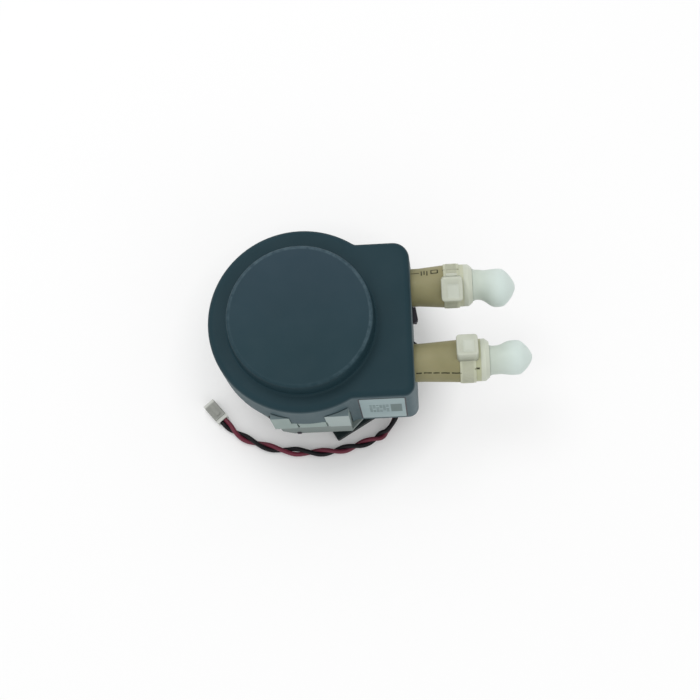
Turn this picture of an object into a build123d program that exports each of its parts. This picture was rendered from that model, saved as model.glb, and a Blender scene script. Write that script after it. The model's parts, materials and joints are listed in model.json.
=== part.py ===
"""A small roller pump head: cover, Omega-shaped pump tube, three-roller rotor, two-stage gear train, flat
motor, three-armed foot, clamped and capped tube ends, and a twisted motor lead with its plug.

Millimetres. +Z is up, +X points the way the two tube ends leave. The origin is on the rotor's axis, in the
plane that the foot stands on.
"""

from build123d import *
import os
from math import acos, atan2, cos, degrees, hypot, pi, radians, sin, tan

# ---- driving dimensions -------------------------------------------------------------------------------
# heights of the stack
FOOT_TOP = 4.0
BASE_LOW = 16.0          # underside of the gear case
PLATE_LOW = 21.4         # steel plate that carries the motor and the idler pin
PLATE_THICK = 1.5
PARTING = 29.0           # joint between the two halves of the gear case
DECK_LOW = 32.5          # roof of the gear case
DECK_TOP = 34.8
RIM_LOW = 38.3           # lower edge of the cover's round part
SKIRT_LOW = 19.5         # lower edge of its deep skirt round the block
TUBE_Z = 47.0            # axis of both tube ends
SHOULDER = 60.0          # top of the cover's rim and block
TOP = 69.0               # top of the raised disc

# cover
WALL = 2.0
RIM_R = 36.7
ROUND_Y = 1.0            # the round shells' centre, a little off the rotor's axis
BLOCK_X = 42.6           # right face of the block, at its top
BLOCK_DRAFT = 0.8        # how far that face leans out by the skirt's lower edge
BLOCK_HALF = 30.8        # half its width
BLOCK_CORNERS = {1: 6.4, -1: 4.2}      # its rounded corners, at the back and at the front
WAIST_R = 3.0            # hollow corner where the block meets the round part
SHOULDER_R = 2.6         # rounding of the upper outer edge
DISC_TOP_R = 28.1
DISC_FOOT_R = 28.8
SKIRT_X = 16.6           # the deep skirt runs round the block from here
NOTCH_HALF = 16.0        # half the width of the skirt's notch under the tubes
NOTCH_TOP = 40.5
FIT = 0.3                # gap between shells that slip into each other

# pump tube, squeezed along the track
TUBE_HALF_SPACING = 15.3
TUBE_R = 7.5
BORE_R = 5.0
SWELL_R = 8.3            # where the hose barb stretches it
TRACK_R = 31.6
CHANNEL_WALL = 24.6      # outer wall of each channel that leads a tube end out
SQUEEZED_HALF_WIDTH = 1.95
SQUEEZED_HALF_HEIGHT = 9.3
LOOP_R = 29.5            # middle line of the squeezed tube
LOOP_END_DEG = 66.0      # the loop runs from here round the back to minus this
STRAIGHT_X = 30.5        # the tube is round again from here on
TUBE_ENDS = {"upper": 63.5, "lower": 68.5}      # where each tube stops against its connector's collar
SIDES = {"upper": 1, "lower": -1}

# rotor
ROLLER_R = 6.0
ROLLER_PCR = 21.2        # pitch circle radius of the roller pins
ROLLER_LOW, ROLLER_HIGH = 38.3, 56.1
PIN_R = 1.5
HUB_R = 8.0
ROTOR_LOW = 36.6
LOWER_FLANGE_R = 26.2
UPPER_FLANGE_R = 24.9
UPPER_FLANGE_LOW, UPPER_FLANGE_HIGH = 56.4, 58.4
SHAFT_R = 3.0
FLAT_X = 2.5             # the D flat's distance from the shaft's axis
ROLLER_COUNT = 3

# gear train: motor pinion -> idler -> output gear
PRESSURE_DEG = 25.0
BACKLASH = 0.12
FAST_MODULE, MOTOR_TEETH, IDLER_TEETH = 0.5, 12, 48
SLOW_MODULE, IDLER_PINION_TEETH, OUTPUT_TEETH = 0.6, 14, 70
FAST_LOW, FAST_HIGH = 23.4, 27.0
SLOW_LOW, SLOW_HIGH = 27.4, 31.4
MOTOR_DISTANCE, MOTOR_ANGLE = 24.0, -8.0      # the motor's axis, from the rotor's

# motor
CAN_R = 12.2
MOTOR_SCREW_OFFSET = 8.0
CAN_LOW = 7.0
END_CAP_LOW = 5.0

# foot and mounting
ARM_ANGLES = (-60.0, 60.0, 180.0)
ARM_HALF_WIDTH = 10.0
ARM_REACH = 35.5
MOUNT_PCD = 58.0
MOUNT_HOLE_R = 2.25      # clearance for M4
POST_RADIUS_AT = 20.0

# block corner screws, through the gear case into the cover
CORNER_SCREW = (36.0, 25.85)
SIDE_SCREW = (-20.0, 20.0)

# motor lead: two twisted wires, as one tube of their outer diameter
LEAD_D = 3.6
LEAD_ROUTE = [
    (35.2, -19.2, 14.6),
    (35.1, -22.5, 7.5),
    (33.9, -28.8, 3.3),
    (29.2, -34.7, 1.95),
    (21.5, -37.4, 1.9),
    (7.0, -40.8, 1.9),
    (-6.0, -40.1, 1.9),
    (-18.0, -38.2, 1.9),
    (-28.5, -34.0, 2.1),
    (-35.2, -29.6, 2.3),
    (-39.0, -25.0, 2.3),
]
PLUG_LENGTH, PLUG_WIDTH, PLUG_HEIGHT = 9.5, 5.2, 4.6
PLUG_PITCH = 2.0         # between its two contacts

CENTRE_BASE = (Align.CENTER, Align.CENTER, Align.MIN)


# ---- small helpers ------------------------------------------------------------------------------------
def disc(radius, low, high, x=0.0, y=0.0):
    """An upright cylinder between two heights."""
    return Pos(x, y, low) * Cylinder(radius, high - low, align=CENTRE_BASE)


def ring(outer, inner, low, high, x=0.0, y=0.0):
    return disc(outer, low, high, x, y) - disc(inner, low - 1, high + 1, x, y)


def block(x_low, x_high, y_low, y_high, z_low, z_high):
    """A box between six planes."""
    size = (x_high - x_low, y_high - y_low, z_high - z_low)
    return Pos(x_low, y_low, z_low) * Box(*size, align=(Align.MIN, Align.MIN, Align.MIN))


def prism(sketch, low, high):
    return Pos(0, 0, low) * extrude(sketch, high - low)


def polar(radius, angle_deg):
    return radius * cos(radians(angle_deg)), radius * sin(radians(angle_deg))


def lathe_x(points, y=0.0, z=0.0):
    """A solid turned about a line along X, from (x, radius) points."""
    profile = make_face(Polyline(*[(x, r, 0) for x, r in points], close=True))
    return Pos(0, y, z) * revolve(profile, Axis.X, 360)


def lathe_z(points, x=0.0, y=0.0):
    """A solid turned about an upright line, from (radius, z) points."""
    profile = make_face(Polyline(*[(r, 0, z) for r, z in points], close=True))
    return Pos(x, y, 0) * revolve(profile, Axis.Z, 360)


def save(node, shape):
    shape.label = node
    export_step(shape, f"parts/{node}.step")


# ---- outlines that several shells share ---------------------------------------------------------------
def cover_outline(inset=0.0):
    """The round part joined to the block, seen from above, moved inwards by inset."""
    half = BLOCK_HALF - inset
    right = BLOCK_X - inset
    outline = Pos(0, ROUND_Y) * Circle(RIM_R - inset) + Pos(right / 2, 0) * Rectangle(right, 2 * half)
    for side, radius in BLOCK_CORNERS.items():
        corner = [v for v in outline.vertices() if v.X > right - 0.5 and v.Y * side > half - 0.5]
        outline = fillet(corner, max(radius - inset, 1.0))
    waist = [v for v in outline.vertices() if abs(abs(v.Y) - half) < 0.01 and 5 < v.X < BLOCK_X / 1.5]
    return fillet(waist, WAIST_R + inset)


def block_end(right):
    """The block's right end as seen from above, with its two rounded corners."""
    left = BLOCK_X - 15
    end = Pos((left + right) / 2, 0) * Rectangle(right - left, 2 * BLOCK_HALF)
    for side, radius in BLOCK_CORNERS.items():
        end = fillet([v for v in end.vertices() if v.X > right - 0.5 and v.Y * side > BLOCK_HALF - 0.5], radius)
    return end


CASE_R = RIM_R - WALL - 0.5
CASE_X = BLOCK_X - WALL - FIT
CASE_HALF = BLOCK_HALF - WALL - FIT
CASE_CORNER = BLOCK_CORNERS[1] - WALL - FIT
CASE_WALL = 1.8


def case_outline(inset=0.0):
    """The gear case seen from above: the same form, small enough to slip into the cover's skirt."""
    half = CASE_HALF - inset
    right = CASE_X - inset
    outline = Pos(0, ROUND_Y) * Circle(CASE_R - inset) + Pos(right / 2, 0) * Rectangle(right, 2 * half)
    corners = [v for v in outline.vertices() if v.X > right - 0.5]
    return fillet(corners, max(CASE_CORNER - inset, 0.8))


# ---- cover ------------------------------------------------------------------------------------------
def make_cover():
    outline = cover_outline()
    shell = prism(outline, RIM_LOW, SHOULDER)
    skirt = prism(outline, SKIRT_LOW, RIM_LOW) & block(SKIRT_X, 50, -50, 50, 0, 80)
    # the right face leans out towards its lower edge, as it leaves the mould
    lower_end = Pos(0, 0, SKIRT_LOW) * block_end(BLOCK_X + BLOCK_DRAFT)
    end = loft([lower_end, Pos(0, 0, SHOULDER) * block_end(BLOCK_X)])
    shell = shell + skirt + end
    top_edges = [e for e in shell.edges() if abs(e.center().Z - SHOULDER) < 0.01]
    shell = fillet(top_edges, SHOULDER_R)
    shell -= block(BLOCK_X - 5, 50, -NOTCH_HALF, NOTCH_HALF, 0, NOTCH_TOP)

    raised = lathe_z([(0, SHOULDER - 1), (DISC_FOOT_R, SHOULDER - 1), (DISC_FOOT_R, SHOULDER), (DISC_TOP_R, TOP), (0, TOP)])
    raised = fillet([e for e in raised.edges() if abs(e.center().Z - TOP) < 0.01], 1.1)
    shell = shell + raised
    foot_edge = [
        e for e in shell.edges()
        if abs(e.bounding_box().max.Z - SHOULDER) < 0.01 and abs(e.bounding_box().max.X - DISC_FOOT_R) < 0.05
    ]
    shell = fillet(foot_edge, 1.2)

    hollow = prism(cover_outline(WALL), SKIRT_LOW - 1, SHOULDER - WALL)
    hollow += disc(DISC_TOP_R - WALL, SHOULDER - WALL - 1, TOP - WALL)
    bosses = Part()
    for side in (1, -1):
        x, y = CORNER_SCREW[0], side * CORNER_SCREW[1]
        bosses += disc(3.0, DECK_TOP + 0.2, SHOULDER - WALL + 0.5, x, y)
    shell = shell - hollow + bosses
    for side in (1, -1):
        x, y = CORNER_SCREW[0], side * CORNER_SCREW[1]
        shell -= disc(1.1, DECK_TOP, 46, x, y)
        mouth = Pos(BLOCK_X - WALL / 2, side * TUBE_HALF_SPACING, TUBE_Z) * Rot(0, 90, 0) * Cylinder(TUBE_R + 0.25, WALL + 2)
        shell -= mouth
    # slots for the retainer's two lugs, between the tubes
    shell -= block(BLOCK_X - WALL - 1, BLOCK_X + 1, 0.9, 7.9, 43.7, 47.4)
    shell -= block(BLOCK_X - WALL - 1, BLOCK_X + 1, -7.9, -6.1, 43.7, 47.4)
    return shell


# ---- gear case --------------------------------------------------------------------------------------
IDLER_DISTANCE = SLOW_MODULE * (OUTPUT_TEETH + IDLER_PINION_TEETH) / 2
FAST_DISTANCE = FAST_MODULE * (IDLER_TEETH + MOTOR_TEETH) / 2
# the triangle of rotor axis, idler axis and motor axis has three known sides
IDLER_ANGLE = MOTOR_ANGLE + degrees(acos(
    (MOTOR_DISTANCE**2 + IDLER_DISTANCE**2 - FAST_DISTANCE**2) / (2 * MOTOR_DISTANCE * IDLER_DISTANCE)
))
IDLER_AT = polar(IDLER_DISTANCE, IDLER_ANGLE)
MOTOR_AT = polar(MOTOR_DISTANCE, MOTOR_ANGLE)


PAD_Y = -35.3            # face of the flat pad at the gear case's front
PAD_RIGHT = 16.3
PAD_TOP = 48.0
SPIGOT_R = RIM_R - WALL - 0.2
SPIGOT_INNER_R = TRACK_R + 2.0


def make_housing():
    """Upper half of the gear case: roof, spigot for the cover's rim and the flat pad at the front."""
    pad = make_face(Polyline((-14.2, -20), (-14.2, PAD_Y), (PAD_RIGHT, PAD_Y), (PAD_RIGHT, -20), close=True))
    shell = prism(case_outline(), PARTING, DECK_TOP) + prism(pad, PARTING, PAD_TOP)
    # the pad's two ends stand up outside the cover's curved wall, and its middle stays below it
    shell -= prism(cover_outline(-0.25), RIM_LOW - 0.2, PAD_TOP + 1)
    spigot = disc(SPIGOT_R, DECK_TOP, 43.5, y=ROUND_Y) & block(-50, 18, -12, 50, 0, 80)
    shell += spigot
    shell -= disc(SPIGOT_INNER_R, DECK_TOP, 50)
    shell -= prism(case_outline(CASE_WALL), PARTING - 1, DECK_LOW)
    shell += disc(8.0, DECK_LOW - 0.6, DECK_LOW + 0.5)
    shell -= disc(5.0, DECK_LOW - 2, DECK_TOP + 1)
    for side in (1, -1):
        x, y = CORNER_SCREW[0], side * CORNER_SCREW[1]
        shell += disc(2.8, PARTING, DECK_LOW + 0.5, x, y)
        shell -= disc(1.4, PARTING - 1, DECK_TOP + 1, x, y)
        x, y = SIDE_SCREW[0], side * SIDE_SCREW[1]
        shell += disc(3.0, PARTING, DECK_LOW + 0.5, x, y)
        shell -= disc(1.1, PARTING - 1, DECK_LOW + 1, x, y)
    x, y = IDLER_AT
    shell += disc(3.0, DECK_LOW - 0.6, DECK_LOW + 0.5, x, y)
    shell -= disc(1.25, DECK_LOW - 2, DECK_LOW + 1.2, x, y)
    # the snap tongue stands free of the pad between two slits, and its foot is notched
    for x in (-4.5, 7.0):
        shell -= block(x - 0.35, x + 0.35, -36, PAD_Y + 0.8, PARTING - 1, RIM_LOW - 0.5)
        shell -= block(x - 1.0, x + 1.0, -36, PAD_Y + 1.1, PARTING - 1, PARTING + 0.9)
    shell -= block(-4.5, 7.0, -36, PAD_Y + 0.3, PARTING - 1, PARTING + 0.5)
    return shell


BASE_Y = -34.9           # the front of the gear case's lower half


def make_base():
    """Lower half of the gear case: a tray with the motor's opening and the lower bearing's boss."""
    front = make_face(Polyline(
        (-15.4, -20), (-15.4, -30.2), (-12.4, -33.8), (-7.5, -34.9), (16.0, BASE_Y), (21.2, -29.7), (21.2, -20),
        close=True,
    ))
    # above the skirt's lower edge the front stays clear of the skirt
    shell = prism(case_outline(), BASE_LOW, PARTING - 0.05) + prism(front, BASE_LOW, SKIRT_LOW - 0.3)
    shell += prism(front, SKIRT_LOW - 1, PARTING - 0.05) & block(-50, PAD_RIGHT - 0.1, -50, 0, 0, 80)
    lower_edges = [e for e in shell.edges() if abs(e.bounding_box().max.Z - BASE_LOW) < 0.01]
    shell = chamfer(lower_edges, 0.8)
    shell -= prism(case_outline(CASE_WALL), BASE_LOW + 2.0, PARTING + 1)
    shell -= disc(CAN_R + 0.3, BASE_LOW - 1, PARTING, *MOTOR_AT)
    shell += disc(6.5, BASE_LOW + 1, 21.2)
    shell -= disc(4.5, 17.6, 22)
    for angle in ARM_ANGLES:
        x, y = polar(POST_RADIUS_AT, angle)
        shell += disc(4.0, BASE_LOW + 1, PLATE_LOW, x, y)
        shell -= disc(1.6, BASE_LOW - 1, PLATE_LOW + 1, x, y)
    for side in (1, -1):
        for place, radius in ((CORNER_SCREW, 2.8), (SIDE_SCREW, 3.0)):
            x, y = place[0], side * place[1]
            shell += disc(radius, BASE_LOW + 1, PARTING - 0.05, x, y)
            shell -= disc(1.45, BASE_LOW - 1, PARTING + 1, x, y)
            shell -= disc(2.45, BASE_LOW - 1, BASE_LOW + 1.6, x, y)
    shell -= disc(2.5, BASE_LOW - 1, BASE_LOW + 3, LEAD_ROUTE[0][0], LEAD_ROUTE[0][1])
    return shell


# ---- foot and fasteners -------------------------------------------------------------------------------
def make_foot():
    plate = Circle(16)
    for angle in ARM_ANGLES:
        plate += Rot(0, 0, angle) * Pos(ARM_REACH / 2, 0) * Rectangle(ARM_REACH, 2 * ARM_HALF_WIDTH)
    crotches = [v for v in plate.vertices() if hypot(v.X, v.Y) < 25]
    plate = fillet(crotches, 4.0)
    tips = [v for v in plate.vertices() if hypot(v.X, v.Y) > 34]
    plate = fillet(tips, 0.8)
    foot = prism(plate, 0, FOOT_TOP)
    foot = chamfer([e for e in foot.edges() if abs(e.bounding_box().min.Z - FOOT_TOP) < 0.01], 0.5)
    for angle in ARM_ANGLES:
        x, y = polar(POST_RADIUS_AT, angle)
        foot += disc(4.5, FOOT_TOP - 1, BASE_LOW, x, y)
        foot -= disc(1.6, -1, BASE_LOW + 1, x, y)
        foot -= disc(3.1, -1, 2.6, x, y)
        x, y = polar(MOUNT_PCD / 2, angle)
        foot -= disc(MOUNT_HOLE_R, -1, FOOT_TOP + 1, x, y)
    foot -= disc(7.0, -1, 1.2)
    return foot


def pan_screw(head_r, head_high, shank_r, length, recess=0.9):
    """A screw standing on its head, shank upwards, with a cross recess below."""
    screw = disc(head_r, 0, head_high) + disc(shank_r, head_high - 0.2, head_high + length)
    screw = chamfer([e for e in screw.edges() if abs(e.center().Z) < 0.01], 0.3)
    cross = Box(head_r * 1.2, head_r * 0.28, 2 * recess) + Box(head_r * 0.28, head_r * 1.2, 2 * recess)
    return screw - cross


def make_foot_screws():
    return [Pos(*polar(POST_RADIUS_AT, a), 0.5) * pan_screw(2.8, 2.1, 1.5, 20.0) for a in ARM_ANGLES]


def make_side_screws():
    return [
        Pos(SIDE_SCREW[0], side * SIDE_SCREW[1], BASE_LOW + 0.1) * pan_screw(2.3, 1.5, 1.1, 15.5)
        for side in (1, -1)
    ]


def make_corner_screws():
    return [
        Pos(CORNER_SCREW[0], side * CORNER_SCREW[1], BASE_LOW + 0.1) * pan_screw(2.3, 1.5, 1.1, 27.5)
        for side in (1, -1)
    ]


# ---- gear train -----------------------------------------------------------------------------------------
def involute_gear(module, teeth, phase_deg):
    """A spur gear's outline: straight-sided facets along true involute flanks, one tooth at phase_deg."""
    pitch = module * teeth / 2
    base = pitch * cos(radians(PRESSURE_DEG))
    tip, root = pitch + module, pitch - 1.25 * module
    pressure = radians(PRESSURE_DEG)
    half_tooth = pi / (2 * teeth) - BACKLASH / (2 * pitch) + tan(pressure) - pressure

    def flank(radius):
        """Half the tooth's angle at this radius."""
        roll = acos(min(1.0, base / radius))
        return half_tooth - (tan(roll) - roll)

    start = max(base, root)
    radii = [start + (tip - start) * step / 3 for step in range(4)]
    points = []
    for tooth in range(teeth):
        middle = radians(phase_deg) + 2 * pi * tooth / teeth
        side = [(r, flank(r)) for r in radii]
        if start > root:
            side.insert(0, (root, flank(start)))
        for r, a in side:
            points.append((r * cos(middle - a), r * sin(middle - a)))
        for r, a in reversed(side):
            points.append((r * cos(middle + a), r * sin(middle + a)))
    return make_face(Polyline(*points, close=True))


def gear_disc(module, teeth, phase_deg, low, high, x=0.0, y=0.0):
    return Pos(x, y, 0) * prism(involute_gear(module, teeth, phase_deg), low, high)


FAST_ANGLE = degrees(atan2(MOTOR_AT[1] - IDLER_AT[1], MOTOR_AT[0] - IDLER_AT[0]))      # from the idler towards the motor


def make_output_gear():
    gear = gear_disc(SLOW_MODULE, OUTPUT_TEETH, IDLER_ANGLE, SLOW_LOW, SLOW_HIGH)
    for low, high in ((SLOW_LOW - 1, SLOW_LOW + 1.2), (SLOW_HIGH - 1.2, SLOW_HIGH + 1)):
        gear -= ring(18.5, 7.0, low, high)
    gear += disc(6.0, FAST_LOW + 0.6, SLOW_LOW + 0.5)
    for hole in range(6):
        gear -= disc(3.2, SLOW_LOW - 1, SLOW_HIGH + 1, *polar(12.8, 60 * hole))
    return gear - disc(SHAFT_R + 0.01, 0, 60)


def make_idler_gear():
    x, y = IDLER_AT
    gear = gear_disc(FAST_MODULE, IDLER_TEETH, FAST_ANGLE, FAST_LOW, FAST_HIGH, x, y)
    gear -= ring(10.2, 5.6, FAST_LOW - 1, FAST_LOW + 1.1, x, y)
    gear -= ring(10.2, 5.6, FAST_HIGH - 1.1, FAST_HIGH + 1, x, y)
    gap_phase = IDLER_ANGLE + 180 + 180 / IDLER_PINION_TEETH
    gear += gear_disc(SLOW_MODULE, IDLER_PINION_TEETH, gap_phase, FAST_HIGH - 0.5, SLOW_HIGH, x, y)
    return gear - disc(1.3, 0, 60, x, y)


def make_motor_pinion():
    gap_phase = FAST_ANGLE + 180 + 180 / MOTOR_TEETH
    pinion = gear_disc(FAST_MODULE, MOTOR_TEETH, gap_phase, FAST_LOW, FAST_HIGH, *MOTOR_AT)
    return pinion - disc(1.0, 0, 60, *MOTOR_AT)


def make_gear_plate():
    spots = [(*MOTOR_AT, 13.0)] + [(*polar(POST_RADIUS_AT, a), 5.0) for a in ARM_ANGLES]
    circles = [Pos(x, y) * CenterArc((0, 0), r, 0, 360) for x, y, r in spots]
    plate = prism(make_hull(circles), PLATE_LOW, PLATE_LOW + PLATE_THICK)
    plate -= disc(6.8, 0, 60)
    plate -= disc(3.2, 0, 60, *MOTOR_AT)
    plate -= disc(1.25, 0, 60, *IDLER_AT)
    for angle in ARM_ANGLES:
        plate -= disc(1.5, 0, 60, *polar(POST_RADIUS_AT, angle))
    for side in (1, -1):
        x, y = MOTOR_AT[0], MOTOR_AT[1] + side * MOTOR_SCREW_OFFSET
        plate -= lathe_z([(0, 20), (1.05, 20), (1.05, PLATE_LOW + 0.5), (2.05, 23), (0, 23)], x, y)
    return plate


def make_shaft():
    shaft = disc(SHAFT_R, 17.9, 59.4)
    shaft = chamfer([e for e in shaft.edges() if e.geom_type == GeomType.CIRCLE], 0.3)
    shaft -= block(FLAT_X, 5, -5, 5, ROTOR_LOW, 60)
    return shaft - disc(1.25, 50, 60)


# ---- motor ----------------------------------------------------------------------------------------------
def make_motor():
    """A flat brushed motor, made about its own axis and then moved to its place."""
    can = lathe_z([
        (0, CAN_LOW), (CAN_R - 0.5, CAN_LOW), (CAN_R, CAN_LOW + 0.5), (CAN_R, PLATE_LOW - 1.2),
        (CAN_R - 1.2, PLATE_LOW), (3.1, PLATE_LOW), (3.1, PLATE_LOW + 1.3), (0, PLATE_LOW + 1.3),
    ])
    can -= disc(1.05, 11, 30)
    cap = lathe_z([
        (0, END_CAP_LOW), (9.6, END_CAP_LOW), (CAN_R - 0.6, END_CAP_LOW + 1.0), (CAN_R - 0.6, CAN_LOW), (0, CAN_LOW),
    ])
    cap += disc(3.2, END_CAP_LOW - 0.8, END_CAP_LOW + 0.5)
    countersunk = lathe_z([
        (0, 17.5), (0.95, 17.5), (0.95, PLATE_LOW + 0.6), (1.95, PLATE_LOW + PLATE_THICK), (0, PLATE_LOW + PLATE_THICK),
    ])
    countersunk -= block(-1.4, 1.4, -0.2, 0.2, PLATE_LOW + PLATE_THICK - 0.4, 30)
    terminals, screws = [], []
    for side in (1, -1):
        can -= disc(1.0, 17, 30, 0, side * MOTOR_SCREW_OFFSET)
        screws.append(Pos(0, side * MOTOR_SCREW_OFFSET, 0) * countersunk)
        cap -= block(7.0, 8.0, side * 4 - 1.0, side * 4 + 1.0, 0, END_CAP_LOW + 0.8)
        terminals.append(block(7.2, 7.8, side * 4 - 0.9, side * 4 + 0.9, END_CAP_LOW - 2.4, END_CAP_LOW + 0.8))
    place = Pos(*MOTOR_AT)
    return {
        "motor_can": place * can,
        "motor_end_cap": place * cap,
        "motor_terminals": [place * terminal for terminal in terminals],
        "motor_screws": [place * screw for screw in screws],
        "motor_shaft": place * disc(1.0, 11.2, FAST_HIGH + 0.2),
        "motor_pinion": make_motor_pinion(),
    }


# ---- pump head ----------------------------------------------------------------------------------------
def make_track():
    """The ring that the rollers squeeze the tube against, with a channel for each tube end."""
    floor, rim = DECK_TOP + 0.2, 57.4
    outline = case_outline() & (Circle(TRACK_R + 1.8) + Pos(38.3, 0) * Rectangle(40, 80))
    track = prism(outline, floor, rim)
    track -= disc(TRACK_R, floor + 1.2, rim + 1)
    track -= disc(7.2, floor - 1, floor + 2)
    for side in (1, -1):
        near, far = sorted((side * 7.7, side * CHANNEL_WALL))
        track -= block(18, 45, near, far, floor + 1.2, rim + 1)
        x, y = CORNER_SCREW[0], side * CORNER_SCREW[1]
        track -= disc(3.3, floor - 1, rim + 1, x, y)
        track -= block(x, 45, *sorted((side * CHANNEL_WALL, side * 33.0)), floor - 1, rim + 1)
    # pocket for the tube retainer in the island between the tubes
    track -= block(33.8, 45, -7.8, 7.8, 43.8, rim + 1)
    return track


def make_retainer():
    """A plate on the island that keeps both tubes in their channels; its two lugs show between the tubes."""
    plate = block(34.0, 40.2, -7.6, 7.6, 44.0, 47.0) + block(34.0, 40.2, -3.0, 3.0, 44.0, 57.2)
    wide = make_face(Polyline((40.2, 1.2), (40.2, 7.6), (44.2, 7.4), (44.9, 2.4), (44.3, 1.2), close=True))
    narrow = make_face(Polyline((40.2, -7.6), (40.2, -6.4), (42.9, -6.4), (44.3, -7.6), close=True))
    return plate + prism(wide, 44.0, 47.0) + prism(narrow, 44.0, 47.0)


def tube_section(x, y, heading_deg, half_width, half_height):
    """The squeezed tube's oval section, across its path into the loop."""
    across = Plane(origin=(x, y, TUBE_Z), x_dir=(-sin(radians(heading_deg)), cos(radians(heading_deg)), 0),
                   z_dir=(cos(radians(heading_deg)), sin(radians(heading_deg)), 0))
    return across * Ellipse(half_width, half_height)


def make_tube():
    """One length of tube: round ends, and squeezed flat where the rollers press it on the track."""
    oval = Plane.XZ * Pos(LOOP_R, TUBE_Z) * Ellipse(SQUEEZED_HALF_WIDTH, SQUEEZED_HALF_HEIGHT)
    tube = Rot(0, 0, LOOP_END_DEG) * revolve(oval, Axis.Z, 360 - 2 * LOOP_END_DEG)
    start_x, start_y = polar(LOOP_R, LOOP_END_DEG)
    lead_in = [
        tube_section(start_x, start_y, LOOP_END_DEG + 90, SQUEEZED_HALF_WIDTH, SQUEEZED_HALF_HEIGHT),
        tube_section(19.2, 22.5, 142, 2.1, 9.2),
        tube_section(26.0, 19.2, 147, 4.0, 8.6),
        tube_section(STRAIGHT_X, TUBE_HALF_SPACING, 180, TUBE_R, TUBE_R),
    ]
    entry = loft(lead_in)
    tube += entry
    tube += mirror(entry, Plane.XZ)
    for name, side in SIDES.items():
        end = TUBE_ENDS[name]
        outside = [(STRAIGHT_X, 0), (STRAIGHT_X, TUBE_R), (46, TUBE_R), (end - 8.5, SWELL_R), (end, SWELL_R), (end, 0)]
        inside = [(STRAIGHT_X + 1, 0), (STRAIGHT_X + 1, BORE_R), (end - 12.5, BORE_R), (end - 8, 5.7), (end + 1, 5.7), (end + 1, 0)]
        tube += lathe_x(outside, side * TUBE_HALF_SPACING, TUBE_Z)
        tube -= lathe_x(inside, side * TUBE_HALF_SPACING, TUBE_Z)
    return tube


def make_connector(name):
    """A hose barb pushed into the tube, with a collar at the tube's end and a spigot for the cap."""
    end, y = TUBE_ENDS[name], SIDES[name] * TUBE_HALF_SPACING
    profile = [(end - 11.5, 3.4), (end - 11.5, 4.6)]
    for barb in range(3):
        at = end - 11.2 + 3.4 * barb
        profile += [(at, 4.7 if barb else 4.8), (at + 2.6, 5.6), (at + 2.9, 5.6), (at + 2.9, 4.9)]
    profile += [(end, 4.9), (end, 8.3), (end + 1.7, 8.3), (end + 3.3, 7.0), (end + 3.3, 4.5), (end + 11.6, 4.5),
                (end + 12.2, 4.1), (end + 12.2, 3.4)]
    return lathe_x(profile, y, TUBE_Z)


CAP_NECK_R = {"upper": 5.95, "lower": 5.65}
CAP_BULB_R = {"upper": 7.6, "lower": 7.15}
CAP_SAG = {"upper": -1.7, "lower": 0.0}      # how far each soft cap's bulb hangs off its axis


def make_cap(name):
    """A soft cap on the spigot: a thin neck and a solid bulb with a blunt point."""
    end, y = TUBE_ENDS[name] + 3.5, SIDES[name] * TUBE_HALF_SPACING
    neck_r, bulb_r = CAP_NECK_R[name], CAP_BULB_R[name]
    neck = lathe_x([(end, 0), (end, neck_r), (end + 6.5, neck_r - 0.15), (end + 9, neck_r - 0.7), (end + 9, 0)], y, TUBE_Z)
    profile = [(2.8, 0.58), (4.6, 0.81), (6.8, 0.95), (9.4, 1.0), (11.8, 0.95), (13.8, 0.77), (15.6, 0.48), (16.6, 0.24)]
    bulb = lathe_x(
        [(end + 2.8, 0)] + [(end + x, share * bulb_r) for x, share in profile] + [(end + 16.9, 0)],
        y + CAP_SAG[name], TUBE_Z,
    )
    return neck + bulb - lathe_x([(end - 1, 0), (end - 1, 4.56), (end + 9.2, 4.56), (end + 9.8, 3.6), (end + 9.8, 0)], y, TUBE_Z)


CLAMP_CENTRE = {"upper": 58.7, "lower": 63.4}
CLAMP_TURN = {"upper": 23.0, "lower": -13.0}      # how far the head has turned about the tube
CLAMP_HALF_WIDTH = 3.9


def make_clamp(name):
    """A nylon tie: the strap round the tube and the locking head, with the strap's cut tail in it."""
    x = CLAMP_CENTRE[name]
    inner, outer = SWELL_R + 0.03, SWELL_R + 0.55
    strap = lathe_x([(-3.2, inner), (-3.2, outer - 0.2), (-2.8, outer), (2.8, outer), (3.2, outer - 0.2), (3.2, inner)])
    head = block(-CLAMP_HALF_WIDTH, CLAMP_HALF_WIDTH, -5.3, 5.3, 6.2, outer + 3.2)
    head = fillet(head.edges().filter_by(Axis.Z), 1.1)
    head = fillet([e for e in head.edges() if e.bounding_box().min.Z > outer + 3.1], 0.8)
    head -= block(-2.4, 2.6, -3.6, 2.4, outer + 2.5, outer + 6)
    head -= lathe_x([(-9, 0), (-9, inner), (9, inner), (9, 0)])
    tail = block(-2.2, 2.2, 5.0, 6.6, outer + 0.4, outer + 1.7)
    clamp = strap + head + tail
    return Pos(x, SIDES[name] * TUBE_HALF_SPACING, TUBE_Z) * Rot(CLAMP_TURN[name], 0, 0) * clamp


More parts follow.
